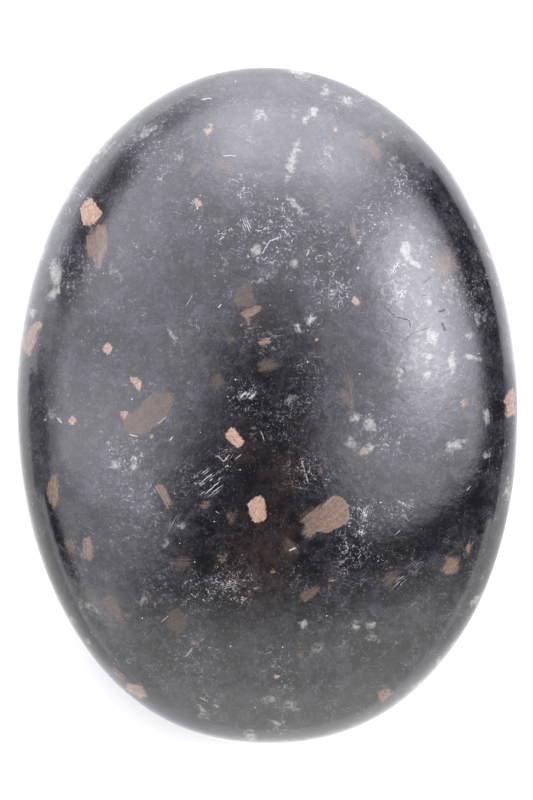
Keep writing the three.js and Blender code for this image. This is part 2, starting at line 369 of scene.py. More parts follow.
# Single needles and cracks on the upper face: from, to, width and how light, with cracks below 0
STROKES = [
    (2.15, -14.6, 2.9, -14.3, 0.20, 1.0), (-5.1, -5.0, -4.4, -5.6, 0.10, 0.8),
    (-4.3, -5.5, -3.8, -4.9, 0.08, 0.7), (-3.2, -5.4, -2.6, -4.9, 0.10, 0.7),
    (-2.8, 0.8, -2.1, 1.35, 0.16, 1.0), (-1.9, 0.7, -1.2, 1.2, 0.14, 1.0),
    (-0.55, 15.2, 0.2, 16.5, 0.10, 0.9), (0.2, 16.5, 1.2, 16.9, 0.12, 0.9),
    (3.9, 15.0, 4.2, 15.7, 0.12, 0.8), (-0.7, -2.5, -0.3, -3.6, 0.10, 0.6),
    (3.4, -5.4, 3.7, -6.4, 0.09, 0.6), (3.8, -6.9, 4.1, -7.7, 0.11, 0.7),
    (-5.2, -10.6, -4.8, -10.9, 0.10, 0.6), (-10.7, -21.8, -9.9, -21.1, 0.09, 0.6),
    (-11.1, -1.9, -10.1, -1.1, 0.10, 0.7), (-13.9, -2.9, -13.0, -3.15, 0.12, 0.8),
    (-4.5, 25.1, -3.1, 25.1, 0.12, 0.6), (-6.7, 30.7, -5.6, 30.9, 0.14, 0.7),
    (-8.3, -25.3, -7.5, -24.4, 0.12, 0.6), (-6.9, -29.3, -6.0, -29.7, 0.12, 0.5),
    (12.8, -13.0, 13.4, -12.5, 0.08, 0.7), (9.1, -15.4, 9.4, -14.9, 0.08, 0.8),
    (4.6, 11.9, 5.0, 13.0, 0.08, 0.5), (11.8, 9.9, 12.8, 8.9, 0.11, -0.8),
    (12.8, 8.9, 14.2, 8.6, 0.12, -0.8), (17.1, 9.45, 17.9, 9.55, 0.24, -0.7),
    (14.2, 8.6, 14.4, 7.8, 0.11, -0.8), (13.4, 6.4, 14.5, 7.2, 0.08, -0.5),
    (14.5, 7.2, 16.2, 7.8, 0.08, -0.5), (12.2, 11.6, 11.7, 9.9, 0.08, -0.5),
    (17.5, 8.4, 17.9, 7.4, 0.28, -0.6), (15.5, 12.2, 16.5, 13.0, 0.12, -0.5),
    (13.3, 6.5, 14.3, 6.5, 0.10, -0.5), (15.4, 11.0, 16.0, 11.1, 0.12, -0.6),
    (-8.2, 9.9, -7.5, 11.2, 0.10, 0.4), (-5.0, 9.8, -4.6, 10.2, 0.14, 0.9),
    (9.0, 13.7, 9.2, 13.9, 0.2, 0.9), (-21.2, -1.2, -20.6, -1.8, 0.12, 0.8),
    (20.0, -8.6, 20.4, -8.0, 0.12, 0.5), (-10.1, 7.8, -9.1, 6.3, 0.14, 0.35),
    (3.0, 8.2, 3.3, 7.3, 0.2, 0.5), (-9.9, -3.6, -9.5, -3.1, 0.12, 0.8),
]

# Sheaves of parallel needles on the upper face: middle, length, width, direction and strength
SHEAVES = [
    (-5.9, -7.7, 2.9, 2.5, 40, 0.85), (13.6, -17.2, 6.0, 1.5, 40, 0.25), (4.6, -12.2, 2.4, 1.6, 42, 0.6),
    (13.6, -9.6, 2.8, 0.8, -32, 0.5), (-13.2, -5.6, 1.8, 1.4, 80, 0.25),
    (-3.6, -18.0, 2.8, 1.3, 15, 0.3), (9.9, -11.0, 1.8, 1.6, 70, 0.35), (-9.5, -11.8, 2.4, 1.4, 60, 0.2),
    (12.8, 13.8, 2.0, 1.0, 60, 0.5), (-2.0, 18.0, 2.2, 1.2, -70, 0.45),
    (-17.4, 16.0, 1.4, 1.2, 90, 0.35),
]

# Where needles crowd on the upper face: middle, radius and strength
NEEDLE_CROWDS = [
    (-6.3, -7.9, 2.0, 0.45), (-3.5, -18.0, 2.4, 1.3), (3.6, -6.6, 2.2, 0.9), (-2.0, 0.8, 1.8, 1.0),
    (1.0, -1.0, 3.0, 0.5), (14.0, -12.8, 2.6, 0.5), (9.0, -15.4, 2.2, 0.85), (11.8, -15.0, 2.2, 0.7),
    (0.5, 17.0, 3.2, 0.9), (-1.0, 15.6, 2.0, 0.9), (10.5, 18.6, 2.2, 0.5), (-2.2, 21.8, 1.8, 0.7),
    (-12.5, -9.5, 3.5, 0.4), (12.0, -3.0, 2.5, 0.5), (4.0, 1.0, 3.0, 0.45), (6.8, 11.5, 1.8, 0.7),
    (9.5, -12.0, 2.4, 0.8), (-6.5, -18.5, 2.2, 0.7), (-14.0, -5.0, 2.2, 0.6), (19.5, 12.0, 3.0, 0.4),
    (12.6, 11.4, 1.4, 1.0), (14.0, 14.2, 1.2, 0.8), (-4.3, -5.2, 1.2, 0.9), (2.0, -18.0, 2.2, 0.4),
    (-19.5, 13.5, 2.0, 0.6), (-12.5, 25.5, 2.2, 0.4), (5.5, 15.0, 3.0, 0.6), (1.0, -25.5, 2.2, 0.4),
    (-7.5, -25.5, 2.2, 0.4), (0.3, 6.8, 1.8, 0.6), (-1.5, 7.5, 1.2, 0.6), (4.3, 8.6, 1.2, 0.9),
    (-10.7, 23.0, 0.7, 1.0), (13.5, 21.5, 2.2, 0.5), (-7.2, 18.0, 0.8, 1.0), (4.8, -7.5, 1.6, 0.8),
    (-20.0, 21.0, 2.5, 0.5), (-4.2, 17.2, 0.9, 1.0), (-7.0, 20.3, 0.8, 0.9), (-12.5, 15.2, 1.0, 0.8),
]

# Browner and blacker rock in the upper face: middle, length, width, direction and strength
BROWN_ZONES = [
    (-0.8, -15.5, 12.0, 8.0, 80, 1.0), (1.8, -7.0, 6.0, 4.0, 60, 0.9), (-2.6, -4.5, 5.0, 3.0, 30, 0.8),
    (-8.8, -16.2, 3.5, 2.5, 80, 0.7), (-2.0, 8.2, 4.0, 4.0, 0, 0.6), (4.0, -4.6, 3.5, 2.5, 0, 0.6),
    (-11.6, 12.4, 3.0, 2.0, 90, 0.3), (8.0, 1.8, 5.0, 2.0, 100, 0.4), (18.0, 13.5, 4.0, 3.0, 80, 0.4),
    (12.4, -17.0, 4.0, 2.4, 40, 0.5),
]
DARK_POOLS = [
    (-0.7, -9.0, 30.0, 14.0, 88, 0.7), (-6.2, -15.9, 4.2, 2.8, 90, 1.0), (-7.0, -11.5, 2.0, 1.4, 0, 0.9),
    (-1.6, -6.6, 3.2, 2.2, 60, 0.9), (2.9, 9.4, 3.0, 1.6, -60, 0.9), (1.2, -10.0, 3.0, 2.2, 90, 0.7),
    (4.9, -13.9, 2.2, 1.2, 10, 0.9), (-14.0, -18.4, 2.6, 1.0, 0, 0.5), (-3.0, 7.6, 2.4, 1.4, 0, 1.0),
    (3.0, -16.0, 2.6, 1.6, 90, 0.8), (-0.9, 5.4, 3.4, 0.9, 0, 1.0), (-5.2, -4.6, 2.0, 1.6, 45, 0.6),
    (14.0, -13.4, 12.0, 4.6, 30, 1.0), (21.0, -10.0, 5.0, 2.2, 70, 0.6), (-1.2, 2.4, 3.0, 1.4, 0, 0.6),
    (0.0, 8.3, 6.5, 5.0, 100, 0.85), (-5.6, -5.4, 5.0, 3.4, 60, 0.8),
]

MARK_STARTS = {  # each mark's value where there is none
    "flake_edge": -1.6,
    "flake_tone": 0.0,
    "flake_blur": 0.1,
    "flake_grain": 0.0,
    "pale_patch": -1.0,
    "needle_crowd": 0.0,
    "brown_zone": 0.0,
    "dark_pool": 0.0,
    "stroke_along": 40.0,
    "stroke_across": 40.0,
    "stroke_light": 0.0,
    "sheaf": 0.0,
    "sheaf_across": 0.0,
}
REACH = 1.6  # how far from a flake its edge is still measured
STROKE_REACH = 1.0  # the same for a stroke
PATCH_MARGIN = 0.6  # how far past its oval a mark still fades, as a share of the oval
CROWD_MARGIN = 0.5
ZONE_MARGIN = 0.4
SHEAF_MARGIN = 0.3
HIDDEN_FLAKES = 110  # seeded, on the sides and the belly
HIDDEN_PATCHES = 130


def inside_depth(spots, corners):
    """How far each spot lies inside a closed outline, negative outside it."""
    corners = np.array(corners, float)
    nearest = np.full(len(spots), 1e9)
    inside = np.zeros(len(spots), bool)
    for start, end in zip(corners, np.roll(corners, -1, axis=0)):
        side = end - start
        share = np.clip((spots - start) @ side / (side @ side), 0, 1)
        nearest = np.minimum(nearest, np.linalg.norm(spots - start - share[:, None] * side, axis=1))
        if start[1] != end[1]:
            crosses = (start[1] > spots[:, 1]) != (end[1] > spots[:, 1])
            inside ^= crosses & (spots[:, 0] < start[0] + (spots[:, 1] - start[1]) * side[0] / side[1])
    return np.where(inside, nearest, -nearest)


def turned(spots, degrees):
    """Spots measured along a direction and across it."""
    turn = math.radians(degrees)
    along = spots[:, 0] * math.cos(turn) + spots[:, 1] * math.sin(turn)
    across = spots[:, 1] * math.cos(turn) - spots[:, 0] * math.sin(turn)
    return along, across


def chip_outline(chance, length, width, degrees):
    """An uneven outline of five to seven corners round the middle."""
    count = chance.integers(5, 8)
    angles = (np.arange(count) + chance.uniform(-0.3, 0.3, count)) * math.tau / count
    reach = chance.uniform(0.8, 1.1, count)
    corners = np.stack([np.cos(angles) * reach * length / 2, np.sin(angles) * reach * width / 2], 1)
    return np.stack(turned(corners, -degrees), 1)


def mark_rock(stone):
    """Gives the mesh its marks as attributes, which the material turns into colour."""
    mesh = stone.data
    points = vectors(mesh.vertices, "co") / MM
    normals = vectors(mesh.vertex_normals, "vector")
    upper = normals[:, 2] > 0
    nearer = EYE_DISTANCE / (EYE_DISTANCE + SIZE[2] / 2 - points[:, 2:])
    seen = FRAME_MIDDLE + (points[:, :2] - FRAME_MIDDLE) * nearer
    chance = np.random.default_rng(SEED)
    marks = {name: np.full(len(points), start) for name, start in MARK_STARTS.items()}

    def seen_from_above(x, y, reach):
        """The points of the upper face near a place, and their spots round it, in the camera's eye."""
        away = seen - (x, y)
        chosen = np.nonzero(upper & (np.hypot(*away.T) < reach))[0]
        return chosen, away[chosen]

    def seen_from_beside(reach):
        """The same for a seeded place on the sides or the belly."""
        sides = np.nonzero(normals[:, 2] < 0.6)[0]
        middle = chance.choice(sides)
        normal = normals[middle]
        first = np.cross(normal, (0.0, 1.0, 0.0) if abs(normal[1]) < 0.7 else (1.0, 0.0, 0.0))
        first /= np.linalg.norm(first)
        away = points - points[middle]
        chosen = np.nonzero((np.linalg.norm(away, axis=1) < reach) & (normals @ normal > 0.3))[0]
        return chosen, np.stack([away[chosen] @ first, away[chosen] @ np.cross(normal, first)], 1)

    def lay_flake(chosen, spots, corners, tone, blur, cleavage):
        depth = np.clip(inside_depth(spots, corners), -REACH, REACH)
        over = depth > marks["flake_edge"][chosen]
        at = chosen[over]
        marks["flake_edge"][at] = depth[over]
        marks["flake_tone"][at] = tone
        marks["flake_blur"][at] = blur
        marks["flake_grain"][at] = turned(spots[over], cleavage)[1]

    def lay_oval(name, chosen, spots, length, width, degrees, strength, margin):
        along, across = turned(spots, degrees)
        depth = 1 - np.hypot(along / (length / 2), across / (width / 2))
        marks[name][chosen] = np.maximum(marks[name][chosen], strength * np.clip(depth + margin, -1, 1.2))

    for corners, tone, blur, cleavage in DRAWN_FLAKES:
        middle = np.mean(corners, axis=0)
        size = np.max(np.linalg.norm(np.array(corners) - middle, axis=1))
        chosen, spots = seen_from_above(*middle, size + REACH)
        lay_flake(chosen, spots, np.array(corners) - middle, tone, blur, cleavage)
    for x, y, length, width, degrees, tone, blur in CHIPS:
        chosen, spots = seen_from_above(x, y, length / 2 + REACH)
        lay_flake(chosen, spots, chip_outline(chance, length, width, degrees), tone, blur, degrees)
    for _ in range(HIDDEN_FLAKES):
        length = chance.uniform(0.5, 1.4) * chance.choice([1.0, 1.6, 2.4])
        degrees = chance.uniform(0, 180)
        chosen, spots = seen_from_beside(length / 2 + REACH)
        corners = chip_outline(chance, length, length * chance.uniform(0.4, 0.8), degrees)
        lay_flake(chosen, spots, corners, chance.uniform(0.05, 0.9), chance.uniform(0.08, 0.3), degrees)

    for x, y, length, width, degrees, strength in PALE_PATCHES:
        chosen, spots = seen_from_above(x, y, length + 1)
        lay_oval("pale_patch", chosen, spots, length, width, degrees, strength, PATCH_MARGIN)
    for _ in range(HIDDEN_PATCHES):
        length = chance.uniform(0.6, 2.6)
        chosen, spots = seen_from_beside(length + 1)
        width = length * chance.uniform(0.3, 0.8)
        degrees = chance.uniform(0, 180)
        strength = chance.uniform(0.4, 1.0)
        lay_oval("pale_patch", chosen, spots, length, width, degrees, strength, PATCH_MARGIN)
    for x, y, radius, strength in NEEDLE_CROWDS:
        chosen, spots = seen_from_above(x, y, radius * 1.6)
        lay_oval("needle_crowd", chosen, spots, radius * 2, radius * 2, 0, strength, CROWD_MARGIN)
    for name, zones in (("brown_zone", BROWN_ZONES), ("dark_pool", DARK_POOLS)):
        for x, y, length, width, degrees, strength in zones:
            chosen, spots = seen_from_above(x, y, length)
            lay_oval(name, chosen, spots, length, width, degrees, strength, ZONE_MARGIN)
    for x, y, length, width, degrees, strength in SHEAVES:
        chosen, spots = seen_from_above(x, y, length)
        before = marks["sheaf"].copy()
        lay_oval("sheaf", chosen, spots, length, width, degrees, strength, SHEAF_MARGIN)
        grown = marks["sheaf"][chosen] > before[chosen]
        marks["sheaf_across"][chosen[grown]] = turned(spots[grown], degrees)[1]

    nearest = np.full(len(points), STROKE_REACH)
    for x, y, end_x, end_y, width, light in STROKES:
        half = math.hypot(end_x - x, end_y - y) / 2
        chosen, spots = seen_from_above((x + end_x) / 2, (y + end_y) / 2, half + STROKE_REACH)
        along, across = turned(spots, math.degrees(math.atan2(end_y - y, end_x - x)))
        away = np.hypot(np.maximum(np.abs(along) - half, 0), across)
        closer = away < nearest[chosen]
        at = chosen[closer]
        nearest[at] = away[closer]
        marks["stroke_along"][at] = along[closer] / half
        marks["stroke_across"][at] = across[closer] / (width / 2)
        marks["stroke_light"][at] = light

    for name, values in marks.items():
        attribute = mesh.attributes.new(name, "FLOAT", "POINT")
        attribute.data.foreach_set("value", values.astype(np.float32))


# The rock's finish

# Colours of its minerals
HUES = {
    "black rock": "#09080c",
    "brown rock": "#201815",
    "grey cloud": "#2b292e",
    "light spot": "#413f44",
    "dark grain": "#050506",
    "pale patch": "#7d7b76",
    "needle": "#949496",
    "needle in brown": "#8f8073",
    "dull flake": "#231e19",
    "copper flake": "#8b7262",
    "stroke": "#98928d",
    "crack": "#020202",
}

# Its patterns: laid straight or bent, how wide in millimetres, and their detail and roughness
NOISES = {
    "zones": ("straight", 3.571, 2.0),
    "clouds": ("bent", 2.381, 4.0, 0.62),
    "grain": ("bent", 0.4167, 3.0, 0.65),
    "pepper": ("straight", 0.2174, 1.0),
    "mottle": ("bent", 0.9091, 4.0, 0.7),
    "patches": ("bent", 0.5263, 4.0, 0.6),
    "crowds": ("straight", 2.857, 2.0),
    "curls": ("bent", 0.7143, 2.0, 0.55),
    "rags": ("straight", 0.3125, 4.0, 0.7),
    "dimples": ("bent", 1.25, 4.0, 0.6),
}
BEND_WIDTH = 1.111
THREAD_CELL = 0.5882
CLEAVAGE_WIDTH = 0.1538

# Needles lie one to a cell: spacing, length, half width, and the share of them that shows
# where none crowd and where they do. The finest are drawn about twice their real width.
NEEDLE_SIZES = [
    (0.34, 0.12, 0.036, 0.22, 0.80),
    (0.60, 0.32, 0.030, 0.10, 0.75),
    (1.20, 0.80, 0.028, 0.04, 0.60),
]
NEEDLE_PITCH = 0.22  # between the needles of a sheaf
DUST_SPACING = 0.9
DUST_RADIUS = 0.085


def cell_frame(tree, place, normal, spacing):
    """Cells strewn over the surface: place along and across each cell's own direction, and its dice."""
    cells = add(tree, "ShaderNodeTexVoronoi", {"feature": "F1"}, place, 1 / spacing)
    middle = cells.outputs["Position"]
    dice = add(tree, "ShaderNodeTexWhiteNoise", {}, middle)
    away = add(tree, VECTOR, "SUBTRACT", place, middle)
    thrown = add(tree, VECTOR, "SUBTRACT", dice.outputs["Color"], (0.5, 0.5, 0.5))
    direction = add(tree, VECTOR, "NORMALIZE", add(tree, VECTOR, "CROSS_PRODUCT", thrown, normal))
    beside = add(tree, VECTOR, "CROSS_PRODUCT", direction, normal)
    along = add(tree, VECTOR, "DOT_PRODUCT", away, direction).outputs["Value"]
    across = add(tree, VECTOR, "DOT_PRODUCT", away, beside).outputs["Value"]
    return along, across, dice.outputs["Value"], dice.outputs["Color"]


def needles(tree, place, normal, crowd, spacing, length, half_width, sparse, dense):
    """Short single needles, lying every way and not all as bright."""
    along, across, dice, dice_colour = cell_frame(tree, place, normal, spacing)
    past_end = add(tree, MATH, "SUBTRACT", add(tree, MATH, "ABSOLUTE", along), length / 2)
    offset = add(tree, "ShaderNodeCombineXYZ", {}, add(tree, MATH, "MAXIMUM", past_end, 0.0), across)
    off = add(tree, VECTOR, "LENGTH", offset)
    line = add(tree, RANGE, SMOOTH, off, half_width * 0.5, half_width * 1.8, 1.0, 0.0)
    share = add(tree, RANGE, {}, crowd, 0.0, 1.0, sparse, dense)
    shown = add(tree, MATH, "LESS_THAN", dice, share)
    red = add(tree, "ShaderNodeSeparateColor", {}, dice_colour).outputs["Red"]
    light = add(tree, RANGE, {}, red, 0.5, 0.95, 0.06, 0.9)
    return add(tree, MATH, "MULTIPLY", add(tree, MATH, "MULTIPLY", line, shown), light)


def parallel_needles(tree, place, across):
    """Thin lines side by side, each broken in its own places."""
    row = add(tree, MATH, "ROUND", add(tree, MATH, "DIVIDE", across, NEEDLE_PITCH))
    off = add(tree, MATH, "PINGPONG", across, NEEDLE_PITCH / 2)
    shift = add(tree, "ShaderNodeCombineXYZ", {}, row, row)
    own = add(tree, VECTOR, "MULTIPLY_ADD", place, (0.7, 0.7, 0.7), shift)
    broken = add(tree, RANGE, SMOOTH, add(tree, "ShaderNodeTexNoise", {}, own, 1.0, 2.0), 0.44, 0.56)
    return add(tree, MATH, "MULTIPLY", add(tree, RANGE, SMOOTH, off, 0.02, 0.065, 1.0, 0.0), broken)


def rock_ground(tree, marks, noise, speckle):
    """The rock between the marks: brown and blue-black zones, grey clouds, and a fine crystal grain."""
    free = add(tree, MATH, "SUBTRACT", 1.0, marks["dark_pool"])
    brown = add(tree, RANGE, SMOOTH, noise["zones"], 0.52, 0.72)
    brown = add(tree, MATH, "MULTIPLY_ADD", brown, 0.35, marks["brown_zone"])
    brown = add(tree, MATH, "MULTIPLY", brown, add(tree, RANGE, SMOOTH, noise["mottle"], 0.36, 0.60, 0.25, 1.1))
    colour = add(tree, MIX, COLOURS, brown, linear(HUES["black rock"]), linear(HUES["brown rock"]))
    cloud = add(tree, MATH, "MULTIPLY", noise["clouds"], 0.55)
    cloud = add(tree, MATH, "MULTIPLY_ADD", noise["mottle"], 0.45, cloud)
    cloud = add(tree, MATH, "MULTIPLY", add(tree, RANGE, SMOOTH, cloud, 0.41, 0.64), free)
    colour = add(tree, MIX, COLOURS, cloud, colour, linear(HUES["grey cloud"]))
    spots = add(tree, MATH, "MULTIPLY", add(tree, RANGE, SMOOTH, speckle, 0.53, 0.74), free)
    colour = add(tree, MIX, COLOURS, spots, colour, linear(HUES["light spot"]))
    dark = add(tree, RANGE, SMOOTH, noise["grain"], 0.42, 0.28)
    return add(tree, MIX, COLOURS, dark, colour, linear(HUES["dark grain"])), brown


def pale_patches(tree, marks, noise, speckle, colour):
    """Patches of fine-grained pale mineral, whose edges wander."""
    wander = add(tree, RANGE, {}, noise["patches"], 0.3, 0.7, -0.5, 0.5)
    patch = add(tree, RANGE, SMOOTH, add(tree, MATH, "ADD", marks["pale_patch"], wander), 0.1, 1.15)
    grains = add(tree, RANGE, SMOOTH, speckle, 0.36, 0.60, 0.6, 1.0)
    covered = add(tree, MATH, "MULTIPLY", patch, grains)
    return add(tree, MIX, COLOURS, covered, colour, linear(HUES["pale patch"])), patch


def tangled_threads(tree, noise, speckle, bent, crowd):
    """Hair-thin threads that run between cells or curl, shown only in short pieces where needles crowd."""
    off_thread = add(tree, "ShaderNodeTexVoronoi", {"feature": "DISTANCE_TO_EDGE"}, bent, 1 / THREAD_CELL)
    thread = add(tree, RANGE, SMOOTH, off_thread, 0.015, 0.055, 0.95, 0.0)
    off_curl = add(tree, MATH, "ABSOLUTE", add(tree, MATH, "SUBTRACT", noise["curls"], 0.52))
    curl = add(tree, RANGE, SMOOTH, off_curl, 0.003, 0.014, 0.8, 0.0)
    broken = add(tree, MATH, "MULTIPLY", add(tree, RANGE, SMOOTH, speckle, 0.48, 0.57), crowd)
    return add(tree, MATH, "MULTIPLY", add(tree, MATH, "MAXIMUM", thread, curl), broken)


def sheaves(tree, marks, noise, place):
    """Needles side by side, which sway a little together."""
    sway = add(tree, MATH, "SUBTRACT", noise["mottle"], 0.5)
    across = add(tree, MATH, "MULTIPLY_ADD", sway, 0.5, marks["sheaf_across"])
    shown = add(tree, RANGE, SMOOTH, marks["sheaf"], 0.0, 0.5)
    return add(tree, MATH, "MULTIPLY", parallel_needles(tree, place, across), shown)


def dust_specks(tree, place):
    """Round white specks of many sizes, in about one cell out of three."""
    off = add(tree, "ShaderNodeTexVoronoi", {"feature": "F1"}, place, 1 / DUST_SPACING)
    dice = add(tree, "ShaderNodeTexWhiteNoise", {}, off.outputs["Position"])
    radius = add(tree, RANGE, {}, dice.outputs["Value"], 0.0, 0.35, DUST_RADIUS, 0.0)
    speck = add(tree, MATH, "LESS_THAN", add(tree, MATH, "MULTIPLY", off, DUST_SPACING), radius)
    return add(tree, MATH, "MULTIPLY", speck, 0.9)


def copper_flakes(tree, marks, noise, speckle, colour):
    """Flakes of altered mica and amphibole, with cleavage lines that fray their edges."""
    lean = add(tree, MATH, "MULTIPLY", noise["pepper"], 0.08)
    cleavage = add(tree, "ShaderNodeCombineXYZ", {}, marks["flake_grain"], lean)
    lines = add(tree, "ShaderNodeTexNoise", {}, cleavage, 1 / CLEAVAGE_WIDTH, 3.0)
    blur = marks["flake_blur"]
    fray = add(tree, MATH, "SUBTRACT", lines, 0.5)
    fray = add(tree, MATH, "MULTIPLY", fray, add(tree, MATH, "MULTIPLY", blur, 3.5))
    ragged = add(tree, MATH, "SUBTRACT", noise["rags"], 0.5)
    edge = add(tree, MATH, "MULTIPLY_ADD", ragged, 0.55, marks["flake_edge"])
    edge = add(tree, MATH, "ADD", edge, fray)
    flake = add(tree, RANGE, SMOOTH, edge, add(tree, MATH, "MULTIPLY", blur, -1.0), blur)
    ends = (linear(HUES["dull flake"]), linear(HUES["copper flake"]))
    hue = add(tree, MIX, COLOURS, marks["flake_tone"], *ends)
    satin = add(tree, MATH, "MULTIPLY_ADD", lines, 0.35, add(tree, MATH, "MULTIPLY", speckle, 0.65))
    shade = add(tree, RANGE, {}, satin, 0.36, 0.64, 0.52, 1.45)
    return add(tree, MIX, COLOURS, flake, colour, add(tree, VECTOR, "SCALE", hue, shade)), flake


def drawn_strokes(tree, marks, noise, colour):
    """Strokes that are drawn one by one: light needles and dark cracks."""
    along = add(tree, MATH, "ABSOLUTE", marks["stroke_along"])
    ends = add(tree, RANGE, SMOOTH, along, 0.55, 1.15, 1.0, 0.0)
    sway = add(tree, MATH, "SUBTRACT", noise["grain"], 0.5)
    across = add(tree, MATH, "ABSOLUTE", add(tree, MATH, "MULTIPLY_ADD", sway, 4.0, marks["stroke_across"]))
    sides = add(tree, RANGE, SMOOTH, across, 0.2, 1.5, 1.0, 0.0)
    stroke = add(tree, MATH, "MULTIPLY", ends, sides)
    light = add(tree, MATH, "MAXIMUM", marks["stroke_light"], 0.0)
    dark = add(tree, MATH, "MAXIMUM", add(tree, MATH, "MULTIPLY", marks["stroke_light"], -1.0), 0.0)
    needle = add(tree, MATH, "MULTIPLY", stroke, light)
    crack = add(tree, MATH, "MULTIPLY", stroke, dark)
    colour = add(tree, MIX, COLOURS, needle, colour, linear(HUES["stroke"]))
    return add(tree, MIX, COLOURS, crack, colour, linear(HUES["crack"])), crack


def polished_rock():
    """Nuummite, an amphibole rock of gedrite and anthophyllite, ground round and polished to a gloss.
    The eye sees a clear reflection on near-black rock, with copper-brown flakes and white needles in it."""
    material = bpy.data.materials.new("polished_nuummite")
    material.use_nodes = True
    tree = material.node_tree
    tree.nodes.clear()

    marks = {}
    for name in MARK_STARTS:
        marks[name] = add(tree, "ShaderNodeAttribute", {"attribute_name": name}).outputs["Fac"]
    source = add(tree, "ShaderNodeTexCoord", {}).outputs
    place = add(tree, VECTOR, "SCALE", source["Object"], 1 / MM)
    bend = add(tree, "ShaderNodeTexNoise", {}, place, 1 / BEND_WIDTH, 1.0).outputs["Color"]
    bent = add(tree, VECTOR, "MULTIPLY_ADD", bend, (0.8, 0.8, 0.8), place)
    swayed = add(tree, VECTOR, "MULTIPLY_ADD", bend, (0.3, 0.3, 0.3), place)
    noise = {}
    for name, (laid, width, *finer) in NOISES.items():
        laid_on = {"straight": place, "bent": bent}[laid]
        noise[name] = add(tree, "ShaderNodeTexNoise", {}, laid_on, 1 / width, *finer)
    speckle = add(tree, MATH, "MULTIPLY", noise["grain"], 0.55)
    speckle = add(tree, MATH, "MULTIPLY_ADD", noise["pepper"], 0.45, speckle)

    colour, brown = rock_ground(tree, marks, noise, speckle)
    colour, patch = pale_patches(tree, marks, noise, speckle, colour)

    # White: needles, threads, sheaves and dust, which are browner in the brown zones
    crowd = add(tree, RANGE, SMOOTH, noise["crowds"], 0.48, 0.72, 0.0, 0.4)
    crowd = add(tree, MATH, "ADD", crowd, marks["needle_crowd"])
    crowd = add(tree, MATH, "MULTIPLY_ADD", marks["dark_pool"], -0.5, crowd)
    uneven = add(tree, RANGE, SMOOTH, noise["mottle"], 0.42, 0.60, 0.15, 1.3)
    crowd = add(tree, MATH, "MULTIPLY", crowd, uneven)
    kinds = [needles(tree, swayed, source["Normal"], crowd, *sizes) for sizes in NEEDLE_SIZES]
    kinds.append(tangled_threads(tree, noise, speckle, bent, crowd))
    kinds.append(sheaves(tree, marks, noise, place))
    white = dust_specks(tree, place)
    for kind in kinds:
        white = add(tree, MATH, "MAXIMUM", white, kind)
    browner = add(tree, RANGE, SMOOTH, brown, 0.3, 1.0)
    white_hue = add(tree, MIX, COLOURS, browner, linear(HUES["needle"]), linear(HUES["needle in brown"]))
    colour = add(tree, MIX, COLOURS, white, colour, white_hue)

    colour, flake = copper_flakes(tree, marks, noise, speckle, colour)
    colour, crack = drawn_strokes(tree, marks, noise, colour)

    # The polish: duller on the softer flakes and patches, dead in the cracks, with faint dimples
    softer = add(tree, MATH, "MAXIMUM", flake, patch)
    roughness = add(tree, RANGE, {}, softer, 0.0, 1.0, POLISH_ROUGHNESS, SOFTER_ROUGHNESS)
    roughness = add(tree, MATH, "MULTIPLY_ADD", crack, 0.6, roughness)
    bump = add(tree, "ShaderNodeBump", {}, 1.0, DIMPLE_DEPTH * MM, Height=noise["dimples"])
    shader = add(tree, "ShaderNodeBsdfPrincipled", {}, colour, Roughness=roughness, IOR=ROCK_IOR, Normal=bump)
    add(tree, "ShaderNodeOutputMaterial", {}, shader)
    return material


# The studio: a white acrylic sheet under a tent of light that is open towards the front

# Light by direction, in degrees: azimuth and half width, zenith from and to, each with how soft
# its edge is; whether it stops at the tent's front opening; and its brightness
TENT = {
    "glow": ((84, 112, 24), (11.5, 8.5), (66, 7), True, 2.05),
    "back": ((80, 26, 12), (33, 11), (74, 14), True, 4.3),
    "back_left": ((128, 30, 12), (34, 12), (70, 6), True, 1.5),
    "back_high": ((80, 32, 12), (72, 12), (200, 10), True, 4.6),
    "right": ((18, 18, 10), (36, 10), (67, 6), True, 1.0),
    "right_low": ((4, 10, 6), (60, 6), (74, 4), True, 1.5),
    "right_corner": ((344, 12, 8), (8, 6), (46, 6), True, 0.75),
    "right_bright": ((22, 20.5, 8.5), (29.5, 7.5), (54, 14), True, 5.3),
    "left": ((197, 21, 10), (24, 8), (77, 5), False, 1.6),
    "rim_left": ((146, 28, 9), (70, 8), (200, 10), True, 2.2),
}
GAP = ((147, 16, 6), (58, 4), (82, 7), 0.74)  # the same, with the share of light that it takes
FRONT_PANES = {
    "low": ((264, 68, 15), (10, 5), (200, 10), 1.5),
    "high": ((274, 32, 16), (58, 8), (200, 10), 0.6),
}
OPENING_START = (-0.30, 0.08)  # on a level sheet one unit above the stone: how far out and how soft
OPENING_END = (0.57, 0.26)
OPENING_CORNER = 0.35  # past this far aside, its end turns away from the stone
OPENING_TURN = {"left": 0.42, "right": 0.10}
TENT_COLOUR = (1.01, 1.0, 1.10)
FRONT_COLOUR = (1.0, 1.0, 0.985)
GLOOM = 0.10
BACKDROP = 1.2  # what the camera sees behind the sheet

# Cards that stand beside the stone and dim its sides: direction, distance, from, to, height and grey
STANDING_CARDS = {
    "right": (4, 88, -34, 74, 31, "#454545"),
    "left": (184, 74, -12, 14, 25, "#8a8a8a"),
}
